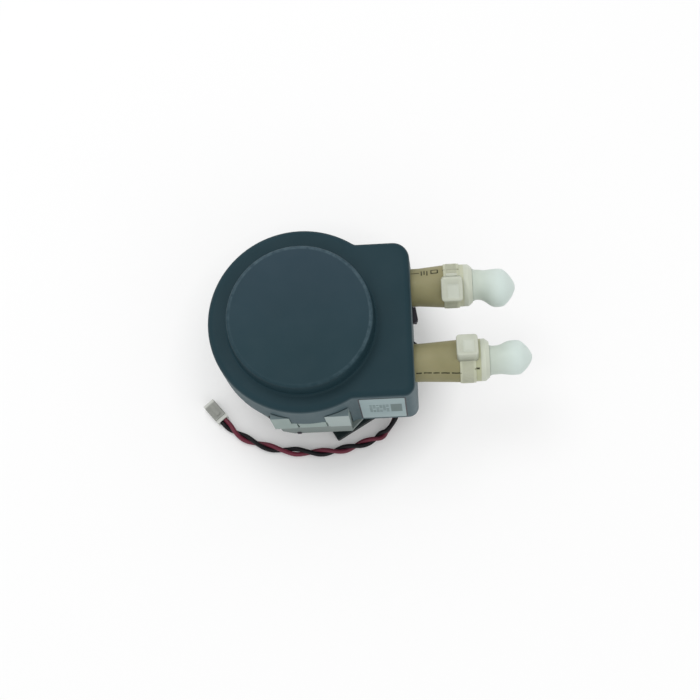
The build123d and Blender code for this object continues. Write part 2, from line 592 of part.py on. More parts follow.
def make_rotor():
    parts = {}
    hub = disc(LOWER_FLANGE_R, ROTOR_LOW, ROTOR_LOW + 1.4) + disc(HUB_R, ROTOR_LOW, UPPER_FLANGE_LOW)
    cap = disc(UPPER_FLANGE_R, UPPER_FLANGE_LOW, UPPER_FLANGE_HIGH)
    for index in range(ROLLER_COUNT):
        angle = 120 * index + 90
        spacer = polar(19.5, angle + 60)
        hub += disc(3.4, ROTOR_LOW, UPPER_FLANGE_LOW, *spacer)
        x, y = polar(ROLLER_PCR, angle)
        hub -= disc(PIN_R, 0, 45, x, y)
        hub -= disc(1.1, 48, 60, *spacer)
        cap -= disc(PIN_R, 0, 70, x, y)
        cap -= disc(1.3, 0, 70, *spacer)
        roller = ring(ROLLER_R, PIN_R + 0.05, ROLLER_LOW, ROLLER_HIGH, x, y)
        parts[f"roller_{index + 1}"] = roller
        parts[f"roller_pin_{index + 1}"] = disc(PIN_R, ROTOR_LOW + 0.1, UPPER_FLANGE_HIGH - 0.1, x, y)
    bore = disc(SHAFT_R + 0.02, 0, 70) - block(FLAT_X + 0.02, 5, -5, 5, 0, 70)
    parts["rotor_hub"] = hub - bore
    parts["rotor_cap"] = cap - bore
    screw = pan_screw(1.9, 1.3, 1.05, 7.0, 0.6)
    parts["rotor_cap_screws"] = [
        Pos(*polar(19.5, 120 * i + 150), UPPER_FLANGE_HIGH + 1.3) * Rot(180, 0, 0) * screw for i in range(ROLLER_COUNT)
    ]
    washer = disc(4.6, 59.4, 60.2) - disc(1.4, 59, 61)
    parts["rotor_washer"] = washer
    parts["rotor_screw"] = Pos(0, 0, 62.2) * Rot(180, 0, 0) * pan_screw(2.7, 2.0, 1.2, 9.0)
    return parts


def make_bearings():
    upper = ring(5.0, SHAFT_R + 0.05, DECK_LOW - 0.6, DECK_TOP) + ring(6.5, SHAFT_R + 0.05, DECK_TOP, DECK_TOP + 1.0)
    lower = ring(4.5, SHAFT_R + 0.05, 17.6, 21.2)
    washer = ring(5.6, SHAFT_R + 0.1, ROTOR_LOW - 0.45, ROTOR_LOW)
    return {"upper_bearing": upper, "lower_bearing": lower, "thrust_washer": washer}


# ---- label, lead and plug -----------------------------------------------------------------------------
def make_lead():
    points = [Vector(*p) for p in LEAD_ROUTE]
    radii = []
    for before, here, after in zip(points, points[1:], points[2:]):
        first, second = here - before, after - here
        half_turn = radians(first.get_angle(second)) / 2
        radii.append(0.45 * min(first.length, second.length) / tan(half_turn))
    print("lead radii", [round(r, 1) for r in radii])
    path = FilletPolyline(*points, radius=radii)
    section = Plane(origin=path @ 0, z_dir=path % 0) * Circle(LEAD_D / 2)
    lead = sweep(section, path)
    print("lead length", round(path.length, 1), "volume ratio", round(lead.volume / (section.area * path.length), 4))
    return lead


def make_plug():
    """A two-pole wire housing lying on its side, in line with the lead's end."""
    back = Vector(*LEAD_ROUTE[-1])
    run = back - Vector(*LEAD_ROUTE[-2])
    heading = degrees(atan2(run.Y, run.X))
    body = block(0, PLUG_LENGTH, -PLUG_WIDTH / 2, PLUG_WIDTH / 2, 0, PLUG_HEIGHT)
    body = fillet(body.edges().filter_by(Axis.X), 0.4)
    # the latch rib along the top, and the step where the wires go in
    body += block(2.6, PLUG_LENGTH - 1.6, -0.9, 0.9, PLUG_HEIGHT - 0.2, PLUG_HEIGHT + 0.4)
    body -= block(-1, 1.6, -PLUG_WIDTH, PLUG_WIDTH, PLUG_HEIGHT - 0.7, PLUG_HEIGHT + 1)
    contacts = []
    for side in (1, -1):
        y = side * PLUG_PITCH / 2
        body -= block(2.2, PLUG_LENGTH + 1, y - 0.7, y + 0.7, 1.3, 3.4)
        contacts.append(block(2.2, PLUG_LENGTH - 1.2, y - 0.5, y + 0.5, 1.3, 2.9))
    place = Pos(back.X, back.Y, 0) * Rot(0, 0, heading)
    return place * body, [place * contact for contact in contacts]


def make_lead_grommet():
    """The black rubber grommet in the gear case's floor that the lead comes down through."""
    x, y, _ = LEAD_ROUTE[0]
    return lathe_z([
        (0, 14.6), (2.4, 14.6), (3.1, 15.3), (3.1, BASE_LOW), (2.5, BASE_LOW), (2.5, BASE_LOW + 2.0), (3.0, BASE_LOW + 2.0),
        (3.0, BASE_LOW + 2.8), (0, BASE_LOW + 2.8),
    ], x, y)


def build():
    parts = {
        "pump_cover": make_cover(),
        "gearbox_housing": make_housing(),
        "gearbox_base": make_base(),
        "mounting_foot": make_foot(),
        "foot_screws": make_foot_screws(),
        "gear_case_screws": make_side_screws(),
        "cover_screws": make_corner_screws(),
        "output_gear": make_output_gear(),
        "idler_gear": make_idler_gear(),
        "idler_pin": disc(1.25, PLATE_LOW, DECK_LOW + 1.0, *IDLER_AT),
        "gear_plate": make_gear_plate(),
        "drive_shaft": make_shaft(),
        "track_housing": make_track(),
        "tube_retainer": make_retainer(),
        "pump_tube": make_tube(),
        "rating_label": block(20.9, 38.4, -BLOCK_HALF - 0.15, -BLOCK_HALF, 22.3, 55.4),
        "lead_grommet": make_lead_grommet(),
        "lead_wires": make_lead(),
    }
    parts |= make_motor()
    parts |= make_rotor()
    parts |= make_bearings()
    for name in SIDES:
        parts[f"barb_connector_{name}"] = make_connector(name)
        parts[f"end_cap_{name}"] = make_cap(name)
        parts[f"hose_clamp_{name}"] = make_clamp(name)
    parts["lead_plug"], parts["plug_contacts"] = make_plug()
    return parts


os.makedirs("parts", exist_ok=True)
for node, shape in build().items():
    save(node, Compound(children=shape) if isinstance(shape, list) else shape)
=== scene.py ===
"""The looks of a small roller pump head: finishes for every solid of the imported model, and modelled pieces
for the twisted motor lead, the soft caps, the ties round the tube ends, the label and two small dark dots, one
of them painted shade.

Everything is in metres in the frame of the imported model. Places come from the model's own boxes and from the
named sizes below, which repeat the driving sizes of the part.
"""

import json
import math

import bmesh
import bpy
from mathutils import Matrix, Vector


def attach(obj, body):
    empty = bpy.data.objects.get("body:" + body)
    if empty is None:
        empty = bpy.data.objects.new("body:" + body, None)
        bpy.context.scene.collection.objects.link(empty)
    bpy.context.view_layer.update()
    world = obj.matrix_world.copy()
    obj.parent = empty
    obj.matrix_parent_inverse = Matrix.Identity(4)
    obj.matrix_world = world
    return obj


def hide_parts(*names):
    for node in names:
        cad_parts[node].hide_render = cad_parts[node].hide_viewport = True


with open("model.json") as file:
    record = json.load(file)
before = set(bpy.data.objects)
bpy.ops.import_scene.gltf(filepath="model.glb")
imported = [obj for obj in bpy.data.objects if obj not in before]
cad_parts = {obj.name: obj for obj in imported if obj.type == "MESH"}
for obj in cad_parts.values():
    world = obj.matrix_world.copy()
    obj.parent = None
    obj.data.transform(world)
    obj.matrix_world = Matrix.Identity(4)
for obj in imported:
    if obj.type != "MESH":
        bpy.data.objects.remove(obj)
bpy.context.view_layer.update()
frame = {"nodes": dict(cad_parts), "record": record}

MM = 0.001

# ---- sizes shared with the solids ---------------------------------------------------------------------
TUBE_Z = 47.0 * MM
TUBE_HALF_SPACING = 15.3 * MM
SWELL_R = 8.3 * MM
TUBE_ENDS = {"upper": 63.5 * MM, "lower": 68.5 * MM}
SIDES = {"upper": 1, "lower": -1}
BLOCK_HALF = 30.8 * MM

# caps on the two spigots
CAP_START = 3.32 * MM         # from the tube's end
CAP_BORE_R = 4.6 * MM
CAP_BORE_DEPTH = 9.8 * MM
CAP_NECK_R = {"upper": 5.95 * MM, "lower": 5.65 * MM}
CAP_BULB_R = {"upper": 7.6 * MM, "lower": 6.8 * MM}
# how far the neck and then the bulb lie off the spigot's line
CAP_SHIFT = {"upper": (0.0, -1.7 * MM), "lower": (-0.35 * MM, 0.35 * MM)}

# ties round the tube ends
CLAMP_CENTRE = {"upper": 58.7 * MM, "lower": 63.4 * MM}
CLAMP_TURN_DEG = {"upper": 23.0, "lower": -18.0}
STRAP_OUTER_R = SWELL_R + 0.5 * MM
STRAP_HALF_WIDTH = 3.1 * MM

LABEL_X = (20.9 * MM, 38.4 * MM)
LABEL_Z = (22.3 * MM, 55.4 * MM)
LABEL_CORNER = 0.8 * MM
LABEL_THICK = 0.14 * MM
# the dark rim round the label is painted shade where it meets the wall
SHADE_RIM_WIDTH = 0.5 * MM

# the lead's route: the points of its solid tube, of which the third to the sixth from the grommet are moved,
# by 1.2 mm at most, to where the twisted wires lie
LEAD_ROUTE_MM = [
    (35.2, -19.2, 14.6),
    (35.1, -22.5, 7.5),
    (33.2, -28.4, 3.3),
    (28.2, -34.2, 1.95),
    (20.9, -37.2, 1.9),
    (7.0, -40.6, 1.9),
    (-6.0, -40.1, 1.9),
    (-18.0, -38.2, 1.9),
    (-28.5, -34.0, 2.1),
    (-35.2, -29.6, 2.3),
    (-39.0, -25.0, 2.3),
]
WIRE_R = 0.95 * MM
WIRE_SPREAD = 0.9 * MM        # from the lead's middle to each wire's
STRAIGHT_AT_PLUG = 2.5 * MM
# where one wire lies on top of the other, from the plug
CROSSINGS = [c * MM for c in (7, 17, 28, 40, 50, 59, 68, 74)]
LAZY_PITCH = 90.0 * MM        # a whole turn takes this length between the last crossing and the grommet
LOOSE_PLACE = 34.5 * MM       # where the two wires part a little
LOOSE_REACH = 3.6 * MM
LOOSE_EXTRA = 0.22 * MM
LEAD_STEPS = 280              # points along each wire
WIRE_SIDES = 16


# ---- camera, floor and light --------------------------------------------------------------------------
def make_camera():
    """A long lens high over the front right, turned a little about its own axis."""
    data = bpy.data.cameras.new("camera")
    data.sensor_width = 36.0
    data.lens = 77.14
    camera = bpy.data.objects.new("camera", data)
    bpy.context.scene.collection.objects.link(camera)
    camera.location = (0.0491, -0.1569, 0.6156)
    camera.rotation_euler = [math.radians(a) for a in (14.467, 3.657, -1.940)]
    bpy.context.scene.camera = camera


def make_lamp(name, place, target, size, power):
    data = bpy.data.lights.new(name, "AREA")
    data.shape = "DISK"
    data.size = size
    data.energy = power
    lamp = bpy.data.objects.new(name, data)
    bpy.context.scene.collection.objects.link(lamp)
    lamp.location = place
    aim = Vector(target) - Vector(place)
    lamp.rotation_euler = aim.to_track_quat("-Z", "Y").to_euler()


def make_world(strength):
    """Even light from all round, behind which the camera sees plain white."""
    world = bpy.data.worlds.new("studio")
    bpy.context.scene.world = world
    world.use_nodes = True
    nodes, links = world.node_tree.nodes, world.node_tree.links
    light, seen = nodes["Background"], nodes.new("ShaderNodeBackground")
    for background, power in ((light, strength), (seen, 1.0)):
        background.inputs["Color"].default_value = (1.0, 1.0, 1.0, 1.0)
        background.inputs["Strength"].default_value = power
    rays, choice = nodes.new("ShaderNodeLightPath"), nodes.new("ShaderNodeMixShader")
    links.new(rays.outputs["Is Camera Ray"], choice.inputs["Fac"])
    links.new(light.outputs[0], choice.inputs[1])
    links.new(seen.outputs[0], choice.inputs[2])
    links.new(choice.outputs[0], nodes["World Output"].inputs["Surface"])


# ---- shader writing -----------------------------------------------------------------------------------
class Value:
    """A shader socket with arithmetic: an expression on values adds its Math nodes."""

    def __init__(self, finish, socket):
        self.finish = finish
        self.socket = socket

    def math(self, operation, *others, clamp=False):
        settings = {"operation": operation, "use_clamp": clamp}
        return self.finish.node("ShaderNodeMath", settings, [self, *others])

    def __add__(self, other):
        return self.math("ADD", other)

    def __sub__(self, other):
        return self.math("SUBTRACT", other)

    def __rsub__(self, other):
        return self.finish.node("ShaderNodeMath", {"operation": "SUBTRACT"}, [other, self])

    def __mul__(self, other):
        return self.math("MULTIPLY", other)

    __radd__ = __add__
    __rmul__ = __mul__

    def root(self):
        return self.math("SQRT")

    def step_up(self, low, high):
        """0 below low, 1 above high and an even rise between; falls instead where high is the lower one."""
        return self.math("MULTIPLY_ADD", 1 / (high - low), -low / (high - low), clamp=True)

    def between(self, low, high, soft):
        """1 from low to high, with soft edges outside them."""
        return self.step_up(low - soft, low) * self.step_up(high + soft, high)


class Finish:
    """One material and the nodes that make it."""

    def __init__(self, name):
        self.material = bpy.data.materials.new(name)
        self.material.use_nodes = True
        self.tree = self.material.node_tree
        self.tree.nodes.clear()
        self.output = self.tree.nodes.new("ShaderNodeOutputMaterial")

    def node(self, kind, settings=None, sockets=(), output=0):
        """Adds a node, its settings before its sockets' values or links, and returns one of its outputs."""
        made = self.tree.nodes.new(kind)
        for key, value in (settings or {}).items():
            setattr(made, key, value)
        pairs = sockets.items() if isinstance(sockets, dict) else enumerate(sockets)
        for key, value in pairs:
            if isinstance(value, Value):
                self.tree.links.new(value.socket, made.inputs[key])
            else:
                made.inputs[key].default_value = value
        return Value(self, made.outputs[output])

    def place(self):
        """Object coordinates in metres: the whole vector, then x, y and z."""
        whole = self.node("ShaderNodeTexCoord", output="Object")
        return [whole] + [self.node("ShaderNodeSeparateXYZ", sockets=[whole], output=k) for k in range(3)]

    def noise(self, scale, detail=3.0, stretch=None):
        vector = self.node("ShaderNodeTexCoord", output="Object")
        if stretch:
            vector = self.node("ShaderNodeMapping", None, {"Vector": vector, "Scale": stretch})
        sockets = {"Vector": vector, "Scale": scale, "Detail": detail}
        return self.node("ShaderNodeTexNoise", {"noise_dimensions": "3D"}, sockets, "Fac")

    def blotches(self, scale, detail=2.0):
        """Noise spread to its full range."""
        return self.noise(scale, detail).step_up(0.3, 0.7)

    def mix(self, factor, first, second):
        """A colour between two colours."""
        return self.node("ShaderNodeMix", {"data_type": "RGBA"}, {0: factor, 6: first, 7: second}, 2)

    def bump(self, height, distance):
        return self.node("ShaderNodeBump", None, {"Height": height, "Distance": distance})

    def surface(self, **sockets):
        """The main shader, from its sockets' names with _ for a space."""
        named = {key.replace("_", " "): value for key, value in sockets.items()}
        shader = self.node("ShaderNodeBsdfPrincipled", None, named)
        self.tree.links.new(shader.socket, self.output.inputs["Surface"])
        return self.material


def colour(red, green, blue):
    """A colour as a screen shows it, 0 to 255, in the linear values that a shader takes."""
    linear = [((c / 255 + 0.055) / 1.055) ** 2.4 if c > 10 else c / 255 / 12.92 for c in (red, green, blue)]
    return (*linear, 1.0)


# ---- finishes -----------------------------------------------------------------------------------------
SPARK_GRAIN = 2600.0          # noise scale of a spark-eroded mould's texture, per metre
PLASTIC_GLOSS = 0.25
STREAK_STRETCH = (1.0, 1.0, 0.15)


def moulded(name, base, second, rough=0.5, grain=0.025 * MM, gloss=PLASTIC_GLOSS):
    """Moulded plastic: slow drift between two tints and a fine spark-eroded grain."""
    finish = Finish(name)
    return finish.surface(
        Base_Color=finish.mix(finish.blotches(38.0), base, second),
        Roughness=rough + (finish.noise(160.0) - 0.5) * 0.14,
        Specular_IOR_Level=gloss, Normal=finish.bump(finish.noise(SPARK_GRAIN, 2.0), grain),
    )


def cover_finish():
    """The cover: dark slate, with painted light that makes its sides below the shoulder paler than its top,
    and a painted highlight along the edge of its disc.
    """
    finish = Finish("slate_cover_plastic")
    _, x, y, z = finish.place()
    radius = (x * x + y * y).root()
    cloudy = finish.blotches(30.0)
    tint = finish.mix(cloudy, colour(28, 51, 58), colour(34, 57, 65))
    # the disc's top is a little bluer towards the back
    blue = y.step_up(-12 * MM, 28 * MM) * z.step_up(67 * MM, 68.5 * MM)
    tint = finish.mix(blue * 0.8, tint, colour(45, 63, 74))
    # painted light: below the shoulder the cover's sides are paler than its top, for the light that falls more
    # on them
    lit_walls = z.step_up(58.9 * MM, 57.2 * MM)
    lit_wall_tint = finish.mix(cloudy, colour(71, 89, 95), colour(79, 97, 102))
    # painted light: the block's end wall is paler still
    lit_wall_tint = finish.mix(x.step_up(40 * MM, 42 * MM), lit_wall_tint, colour(90, 106, 112))
    tint = finish.mix(lit_walls, tint, lit_wall_tint)
    # painted highlight: a pale line along the disc's top edge, broken up by noise and strongest towards the
    # back and the right
    edge_highlight = radius.between(27.0 * MM, 27.8 * MM, 0.5 * MM) * z.step_up(67.2 * MM, 68.3 * MM)
    highlight_breakup = finish.noise(420.0, 4.0).step_up(0.35, 0.65)
    edge_highlight = edge_highlight * (0.1 + highlight_breakup * 0.35) * (x * 0.5 + y).step_up(-34 * MM, 6 * MM)
    tint = finish.mix(edge_highlight, tint, colour(84, 104, 112))
    return finish.surface(
        Base_Color=tint, Roughness=0.55 + (finish.noise(160.0) - 0.5) * 0.16 - edge_highlight * 0.2,
        Specular_IOR_Level=0.12, Normal=finish.bump(finish.noise(SPARK_GRAIN, 2.0), 0.03 * MM),
    )


def case_finish():
    """The gear case's upper half: pale, with the right end of its front pad paler still."""
    finish = Finish("pale_case_plastic")
    _, x, y, z = finish.place()
    pad = y.step_up(-33.6 * MM, -34.6 * MM)
    tint = finish.mix(finish.blotches(60.0), colour(134, 151, 147), colour(144, 160, 156))
    tint = finish.mix(pad * x.step_up(6.6 * MM, 7.4 * MM), tint, colour(156, 170, 168))
    # painted shade: the ears' upper ledges are darkened towards the wall behind them, which they stand out
    # from too strongly
    tint = finish.mix(z.step_up(47.3 * MM, 47.7 * MM), tint, colour(118, 134, 137))
    return finish.surface(
        Base_Color=tint, Roughness=0.48 + (finish.noise(200.0) - 0.5) * 0.15,
        Specular_IOR_Level=PLASTIC_GLOSS, Normal=finish.bump(finish.noise(SPARK_GRAIN, 2.0), 0.025 * MM),
    )


def track_finish():
    """The track's housing: white acetal, coloured as the case where it shows under the cover's rim."""
    finish = Finish("track_acetal")
    _, x, y, z = finish.place()
    seam = z.step_up(39.0 * MM, 38.4 * MM) * (x * x + y * y).root().step_up(29.0 * MM, 30.5 * MM)
    tint = finish.mix(finish.blotches(60.0), colour(214, 214, 206), colour(224, 224, 217))
    return finish.surface(
        Base_Color=finish.mix(seam, tint, colour(120, 136, 133)),
        Roughness=0.4 + (finish.noise(200.0) - 0.5) * 0.15,
        Specular_IOR_Level=PLASTIC_GLOSS, Normal=finish.bump(finish.noise(SPARK_GRAIN, 2.0), 0.02 * MM),
    )


def metal(name, tint, rough=0.28):
    """Turned or rolled metal with fine streaks, drawn out along Z."""
    finish = Finish(name)
    streaks = finish.noise(6000.0, 2.0, STREAK_STRETCH)
    dull = [c * 0.78 for c in tint[:3]] + [1.0]
    return finish.surface(
        Base_Color=finish.mix(finish.blotches(220.0), tint, dull), Metallic=1.0,
        Roughness=rough + streaks * 0.16, Normal=finish.bump(streaks, 0.008 * MM),
    )


# where each tube's printed guide line lies, as its angle from the top towards +Y, and its marks in
# millimetres: where each starts and ends along X, how far it lies off the line, and half its width
PRINT_ANGLE_DEG = {"upper": 31.0, "lower": -47.0}
PRINT_MARKS = {
    "upper": [
        (43.0, 46.2, 0.0, 0.14), (46.9, 47.3, -0.1, 1.2), (48.0, 48.4, 0.2, 1.1), (49.1, 49.5, -0.3, 1.2),
        (50.7, 51.1, 0.0, 1.0), (51.1, 53.2, 0.9, 0.2), (51.1, 53.2, -0.9, 0.2), (53.2, 53.6, 0.0, 1.0),
        (55.3, 56.2, 0.0, 0.16), (57.0, 61.0, 0.0, 0.1), (61.0, 61.7, 0.0, 0.36),
    ],
    "lower": [
        (43.3, 45.5, 0.0, 0.25), (46.3, 49.3, 0.1, 0.25), (50.0, 52.3, 0.0, 0.25), (53.0, 56.2, -0.1, 0.25),
        (57.1, 60.8, -0.1, 0.25), (65.9, 67.8, 1.5, 0.34),
    ],
}


def guide_print(finish):
    """Where the tubes' printed line and marks are, 0 to 1."""
    _, x, y, z = finish.place()
    wander = (finish.noise(300.0, 1.0) - 0.5) * (0.5 * MM)
    ink = None
    for name, side in SIDES.items():
        angle = math.radians(PRINT_ANGLE_DEG[name])
        right, up = y - side * TUBE_HALF_SPACING, z - TUBE_Z
        sideways = right * math.cos(angle) - up * math.sin(angle) + wander
        above = (right * math.sin(angle) + up * math.cos(angle)).step_up(0.0, 1.0 * MM)
        for start, end, off, half_width in PRINT_MARKS[name]:
            across = (sideways - off * MM).math("ABSOLUTE").step_up((half_width + 0.1) * MM, half_width * MM)
            mark = x.between(start * MM, end * MM, 0.08 * MM) * across * above
            ink = mark if ink is None else ink.math("MAXIMUM", mark)
    return ink * (0.68 + finish.noise(1500.0, 2.0).step_up(0.3, 0.5) * 0.32)


def tube_finish():
    """Amber pump tubing: a milky wall with a dark printed line, bleached where a barb stretches it."""
    finish = Finish("amber_pump_tubing")
    _, x, y, _ = finish.place()
    tint = finish.mix(finish.blotches(70.0, 3.0), colour(128, 125, 90), colour(143, 138, 104))
    upper = y.step_up(-1 * MM, 1 * MM)
    bleached = x.step_up(56.0 * MM, 58.5 * MM) * upper
    tint = finish.mix(bleached, tint, colour(188, 191, 168))
    bleached = x.step_up(60.5 * MM, 65.0 * MM) * (1 - upper)
    tint = finish.mix(bleached, tint, colour(174, 177, 148))
    return finish.surface(
        Base_Color=finish.mix(guide_print(finish), tint, colour(48, 48, 32)),
        Roughness=0.5 + (finish.noise(400.0) - 0.5) * 0.2, Specular_IOR_Level=0.2,
        Subsurface_Weight=0.2, Subsurface_Radius=(1.0, 0.8, 0.5), Subsurface_Scale=2 * MM,
        Normal=finish.bump(finish.noise(500.0), 0.04 * MM),
    )


def strap_finish():
    """A thin milky strap, through which the tube's print shows faintly."""
    finish = Finish("strap_nylon")
    tint = finish.mix(finish.blotches(120.0), colour(184, 187, 163), colour(192, 195, 172))
    return finish.surface(
        Base_Color=finish.mix(guide_print(finish) * 0.6, tint, colour(90, 92, 66)),
        Roughness=0.45 + (finish.noise(700.0) - 0.5) * 0.15, Specular_IOR_Level=0.25,
        Subsurface_Weight=0.3, Subsurface_Radius=(1.0, 1.0, 0.8), Subsurface_Scale=2 * MM,
        Normal=finish.bump(finish.noise(900.0), 0.03 * MM),
    )


def cap_finish():
    """Milky silicone, greener and darker where the neck is thin over its spigot."""
    finish = Finish("cap_silicone")
    _, x, y, _ = finish.place()
    bulb = (x - y.step_up(1 * MM, -1 * MM) * (5 * MM)).step_up(69 * MM, 77 * MM)
    tint = finish.mix(finish.blotches(120.0), colour(186, 196, 186), colour(192, 202, 191))
    tint = finish.mix(bulb, tint, colour(201, 213, 208))
    return finish.surface(
        Base_Color=tint, Roughness=0.45 + (finish.noise(700.0) - 0.5) * 0.15, Specular_IOR_Level=0.25,
        Subsurface_Weight=0.45, Subsurface_Radius=(1.0, 1.0, 1.0), Subsurface_Scale=2.5 * MM,
        Normal=finish.bump(finish.noise(900.0), 0.02 * MM),
    )


def milky(name, first, second):
    """Milky nylon."""
    finish = Finish(name)
    return finish.surface(
        Base_Color=finish.mix(finish.blotches(120.0), first, second),
        Roughness=0.45 + (finish.noise(700.0) - 0.5) * 0.15, Specular_IOR_Level=0.35,
        Subsurface_Weight=0.3, Subsurface_Radius=(1.0, 1.0, 1.0), Subsurface_Scale=2.5 * MM,
        Normal=finish.bump(finish.noise(900.0), 0.03 * MM),
    )


# the label's print: where the rows of dashes and the solid bar lie, and the pitch of rows and dashes
DASHES_X = (24.2 * MM, 32.0 * MM)
BAR_X = (32.7 * MM, 37.0 * MM)
PRINT_Z = (32.4 * MM, 45.6 * MM)
ROW_PITCH = 2.2 * MM
DASH_PITCH = 1.3 * MM
ROW_SEED = 7.31               # sets which dashes are missing in each row


def label_finish():
    """A matt film with a block of plain print: rows of short dashes and one solid bar."""
    finish = Finish("label_film")
    _, x, _, z = finish.place()
    film = finish.mix(finish.blotches(90.0), colour(138, 157, 160), colour(146, 165, 167))
    film = finish.mix(z.step_up(30 * MM, 22.5 * MM) * 0.7, film, colour(158, 174, 175))
    row = (z - PRINT_Z[0]) * (1 / ROW_PITCH)
    place = (x - DASHES_X[0]) * (1 / DASH_PITCH)
    dash = row.math("FRACT").between(0.22, 0.74, 0.06) * place.math("FRACT").between(0.12, 0.88, 0.06)
    cell = place.math("FLOOR") + row.math("FLOOR") * ROW_SEED
    chance = finish.node("ShaderNodeTexWhiteNoise", {"noise_dimensions": "1D"}, {"W": cell}, "Value")
    dashes = dash * chance.step_up(0.1, 0.15) * x.between(*DASHES_X, 0.1 * MM)
    ink = dashes.math("MAXIMUM", x.between(*BAR_X, 0.1 * MM)) * z.between(*PRINT_Z, 0.2 * MM)
    return finish.surface(
        Base_Color=finish.mix(ink * 0.85, film, colour(84, 102, 100)),
        Roughness=0.55 + (finish.noise(300.0) - 0.5) * 0.1,
        Specular_IOR_Level=PLASTIC_GLOSS, Normal=finish.bump(finish.noise(1200.0), 0.01 * MM),
    )


PLUG_HEADING = (-0.637, 0.771)      # which way the plug points on the table


def plug_finish():
    """The lead's housing: greyed nylon, paler at its wire end and at its open end."""
    finish = Finish("plug_nylon")
    _, x, y, _ = finish.place()
    start_x, start_y, _ = (c * MM for c in LEAD_ROUTE_MM[-1])
    # distance along the plug, from its wire end
    along = (x - start_x) * PLUG_HEADING[0] + (y - start_y) * PLUG_HEADING[1]
    ends = along.step_up(1.9 * MM, 1.2 * MM).math("MAXIMUM", along.step_up(8.0 * MM, 8.8 * MM))
    tint = finish.mix(finish.blotches(300.0), colour(134, 136, 130), colour(147, 148, 142))
    return finish.surface(
        Base_Color=finish.mix(ends, tint, colour(196, 198, 192)),
        Roughness=0.45 + (finish.noise(500.0) - 0.5) * 0.1,
        Specular_IOR_Level=0.3, Normal=finish.bump(finish.noise(1800.0), 0.02 * MM),
    )


FINISHES = {
    "cover_plastic": cover_finish(),
    "dark_plastic": moulded("dark_plastic", colour(40, 38, 46), colour(50, 46, 54)),
    "black_plastic": moulded("black_plastic", colour(20, 32, 33), colour(26, 38, 39), gloss=0.15),
    "black_rubber": moulded("black_rubber", colour(24, 24, 25), colour(32, 32, 32), rough=0.7, gloss=0.15),
    "case_plastic": case_finish(),
    "inner_plastic": moulded("white_acetal", colour(214, 214, 206), colour(224, 224, 217), rough=0.35),
    "roller_plastic": moulded("roller_plastic", colour(188, 192, 195), colour(199, 203, 205), rough=0.3),
    "steel": metal("steel", (0.56, 0.57, 0.58, 1.0)),
    "brass": metal("brass", (0.72, 0.52, 0.22, 1.0)),
    "bronze": metal("bronze", (0.50, 0.30, 0.14, 1.0), 0.42),
    "tube_rubber": tube_finish(),
    "nylon": milky("natural_nylon", colour(188, 193, 178), colour(196, 201, 186)),
    "cap_silicone": cap_finish(),
    "label_paper": label_finish(),
    "wire_insulation": moulded(
        "red_insulation", colour(106, 36, 54), colour(88, 29, 45), 0.45, 0.01 * MM, 0.3,
    ),
    "plug_plastic": plug_finish(),
}
BLACK_INSULATION = moulded("black_insulation", colour(15, 14, 17), colour(22, 20, 24), 0.5, 0.01 * MM, 0.2)
CASE_TRAY = moulded("case_tray_plastic", colour(112, 123, 121), colour(120, 131, 128))
STRAP_NYLON = strap_finish()
TRACK_ACETAL = track_finish()
HEAD_NYLON = milky("tie_head_nylon", colour(179, 183, 168), colour(187, 191, 177))
WINDOW_NYLON = milky("tie_window_nylon", colour(186, 191, 178), colour(193, 198, 186))


def dress_nodes():
    """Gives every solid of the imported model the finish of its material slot, or its own."""
    own = {"gearbox_base": CASE_TRAY, "track_housing": TRACK_ACETAL}
    for part in frame["record"]["subparts"]:
        mesh = frame["nodes"][part["node"]].data
        mesh.materials.clear()
        mesh.materials.append(own.get(part["node"], FINISHES[part["material_slot"]]))


# ---- mesh writing -------------------------------------------------------------------------------------
def new_object(name, mesh, *materials):
    made = bpy.data.objects.new(name, mesh)
    bpy.context.scene.collection.objects.link(made)
    for material in materials:
        mesh.materials.append(material)
    return made


def finish_mesh(build, name, smooth=True):
    """Turns a bmesh into a mesh with outward normals."""
    bmesh.ops.recalc_face_normals(build, faces=build.faces)
    mesh = bpy.data.meshes.new(name)
    build.to_mesh(mesh)
    build.free()
    for polygon in mesh.polygons:
        polygon.use_smooth = smooth
    return mesh


def skin(build, rings, ends=True, material=0):
    """A skin through rings of points, every ring with the same number; ends closes both with a fan."""
    rows = [[build.verts.new(point) for point in ring] for ring in rings]
    count = len(rows[0])
    faces = []
    for low, high in zip(rows, rows[1:]):
        for i in range(count):
            j = (i + 1) % count
            faces.append(build.faces.new((low[i], low[j], high[j], high[i])))
    if ends:
        for row in (rows[0], rows[-1]):
            middle = build.verts.new(sum((v.co for v in row), Vector()) / count)
            faces += [build.faces.new((row[i], row[(i + 1) % count], middle)) for i in range(count)]
    for face in faces:
        face.material_index = material


def round_x(x, radius, y, z, count=56):
    """A ring of points about a line along X."""
    turns = (2 * math.pi * k / count for k in range(count))
    return [Vector((x, y + radius * math.cos(a), z + radius * math.sin(a))) for a in turns]


def dress(made, node, body="frame"):
    """Fixes a finished piece to its body in place of a solid."""
    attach(made, body)
    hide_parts(node)


# ---- lead ---------------------------------------------------------------------------------------------
def route_points():
    """Points along the smooth curve that the lead follows."""
    curve = bpy.data.curves.new("lead_route", "CURVE")
    curve.dimensions = "3D"
    spline = curve.splines.new("NURBS")
    spline.points.add(len(LEAD_ROUTE_MM) - 1)
    for point, (x, y, z) in zip(spline.points, LEAD_ROUTE_MM):
        point.co = (x * MM, y * MM, z * MM, 1.0)
    spline.order_u = 3
    spline.use_endpoint_u = True
    spline.resolution_u = 24
    holder = bpy.data.objects.new("lead_route", curve)
    mesh = bpy.data.meshes.new_from_object(holder)
    points = [v.co.copy() for v in mesh.vertices]
    bpy.data.meshes.remove(mesh)
    bpy.data.objects.remove(holder)
    bpy.data.curves.remove(curve)
    return points


